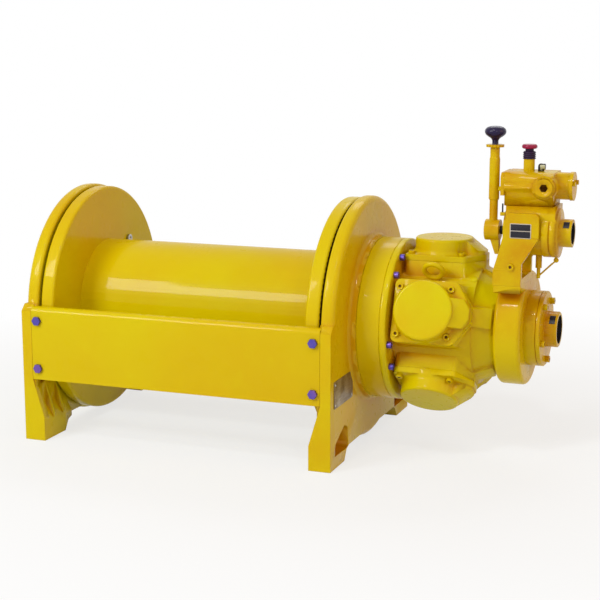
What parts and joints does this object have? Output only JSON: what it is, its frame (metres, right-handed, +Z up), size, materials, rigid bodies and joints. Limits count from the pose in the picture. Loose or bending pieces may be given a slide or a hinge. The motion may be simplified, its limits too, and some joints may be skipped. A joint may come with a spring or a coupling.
{
  "type": "air winch",
  "caption": "Air winch: a flanged rope drum between two cast uprights, driven through planetary gears and a disc brake by a radial piston air motor with a lever throttle valve.",
  "frame": {"origin": "centre of the four deck bolt holes, on the deck", "axes": "+X along the drum axis towards the air motor, +Y to the back, +Z up"},
  "size_m": [1.1102, 0.536, 0.654],
  "materials": {
    "yellow_paint": "gloss",
    "blue_zinc": "satin",
    "machined_steel": "machined",
    "piston_alloy": "machined",
    "bearing_bronze": "machined",
    "grey_iron": "cast",
    "friction_lining": "matt",
    "knob_plastic": "gloss",
    "ribbed_rubber": "satin",
    "red_plastic": "gloss"
  },
  "bodies": {
    "frame": {"upright_outboard": "yellow_paint", "upright_motor": "yellow_paint", "siderail_front": "yellow_paint", "siderail_rear": "yellow_paint", "siderail_bolts": "blue_zinc", "bearing_outer_ring": "machined_steel", "bearing_cover": "yellow_paint", "bearing_cover_bolts": "blue_zinc", "gear_housing": "grey_iron", "ring_gear": "machined_steel", "brake_housing": "yellow_paint", "brake_plate": "machined_steel", "brake_spring": "machined_steel", "motor_housing": "yellow_paint", "motor_bolts": "blue_zinc", "crank_bearings": "bearing_bronze", "cylinder_heads": "yellow_paint", "head_bolts": "yellow_paint", "lifting_eye": "yellow_paint", "exhaust_housing": "yellow_paint", "exhaust_flange": "yellow_paint", "exhaust_bolts": "yellow_paint", "valve_bracket": "yellow_paint", "valve_body": "yellow_paint", "valve_head": "yellow_paint", "valve_end_covers": "yellow_paint", "valve_screws": "blue_zinc", "port_fittings": "yellow_paint", "stop_guard": "yellow_paint", "stop_sleeve": "ribbed_rubber", "drain_cock": "yellow_paint"},
    "drum": {"drum_barrel": "yellow_paint", "drum_flange_outboard": "yellow_paint", "drum_flange_motor": "yellow_paint", "rope_anchor_screw": "machined_steel", "drum_trunnion": "machined_steel", "bearing_inner_ring": "machined_steel", "bearing_balls": "machined_steel", "drum_bush": "bearing_bronze", "planet_carrier": "machined_steel"},
    "planet_1": {"planet_gear_1": "machined_steel"},
    "planet_2": {"planet_gear_2": "machined_steel"},
    "planet_3": {"planet_gear_3": "machined_steel"},
    "crank": {"sun_gear": "machined_steel", "brake_hub": "machined_steel", "brake_discs": "friction_lining", "crankshaft": "machined_steel", "rotary_valve": "machined_steel"},
    "brake_piston": {"brake_piston": "machined_steel"},
    "piston_1": {"piston_1": "piston_alloy"},
    "piston_2": {"piston_2": "piston_alloy"},
    "piston_3": {"piston_3": "piston_alloy"},
    "piston_4": {"piston_4": "piston_alloy"},
    "piston_5": {"piston_5": "piston_alloy"},
    "lever": {"throttle_spool": "machined_steel", "lever_hub": "yellow_paint", "lever_rod": "yellow_paint", "lever_knob": "knob_plastic"},
    "lever_collar": {"lever_collar": "yellow_paint"},
    "stop_button": {"stop_button": "red_plastic"}
  },
  "joints": [
    {"name": "drum_spin", "type": "hinge", "parent": "frame", "child": "drum", "pos_m": [0, 0, 0.257], "axis": [1, 0, 0], "continuous": true},
    {"name": "crank_spin", "type": "hinge", "parent": "frame", "child": "crank", "pos_m": [0, 0, 0.257], "axis": [1, 0, 0], "continuous": true},
    {"name": "planet_1_spin", "type": "hinge", "parent": "drum", "child": "planet_1", "pos_m": [0, 0, 0.317], "axis": [1, 0, 0], "continuous": true},
    {"name": "planet_2_spin", "type": "hinge", "parent": "drum", "child": "planet_2", "pos_m": [0, -0.05196, 0.227], "axis": [1, 0, 0], "continuous": true},
    {"name": "planet_3_spin", "type": "hinge", "parent": "drum", "child": "planet_3", "pos_m": [0, 0.05196, 0.227], "axis": [1, 0, 0], "continuous": true},
    {"name": "brake_release", "type": "slide", "parent": "frame", "child": "brake_piston", "axis": [1, 0, 0], "range_m": [0, 0.0015], "stiffness_N_per_m": 60000, "springref_m": -0.004},
    {"name": "piston_1_slide", "type": "slide", "parent": "frame", "child": "piston_1", "axis": [0, 0, 1], "range_m": [-0.04, 0]},
    {"name": "piston_2_slide", "type": "slide", "parent": "frame", "child": "piston_2", "axis": [0, -0.9511, 0.309], "range_m": [-0.02383, 0.01617]},
    {"name": "piston_3_slide", "type": "slide", "parent": "frame", "child": "piston_3", "axis": [0, -0.5878, -0.809], "range_m": [-0.00293, 0.03707]},
    {"name": "piston_4_slide", "type": "slide", "parent": "frame", "child": "piston_4", "axis": [0, 0.5878, -0.809], "range_m": [-0.00293, 0.03707]},
    {"name": "piston_5_slide", "type": "slide", "parent": "frame", "child": "piston_5", "axis": [0, 0.9511, 0.309], "range_m": [-0.02383, 0.01617]},
    {"name": "throttle_lever", "type": "hinge", "parent": "frame", "child": "lever", "pos_m": [0.592, -0.06, 0.456], "axis": [1, 0, 0], "range_deg": [-30, 30], "stiffness_Nm_per_rad": 4},
    {"name": "collar_lift", "type": "slide", "parent": "lever", "child": "lever_collar", "axis": [0, 0, 1], "range_m": [0, 0.006], "stiffness_N_per_m": 400, "springref_m": -0.004},
    {"name": "stop_press", "type": "slide", "parent": "frame", "child": "stop_button", "axis": [0, 0, 1], "range_m": [-0.005, 0]}
  ],
  "couplings": [
    {"joint": "crank_spin", "follows": "drum_spin", "ratio": 5},
    {"joint": "planet_1_spin", "follows": "drum_spin", "ratio": -2.6667},
    {"joint": "planet_2_spin", "follows": "drum_spin", "ratio": -2.6667},
    {"joint": "planet_3_spin", "follows": "drum_spin", "ratio": -2.6667}
  ]
}
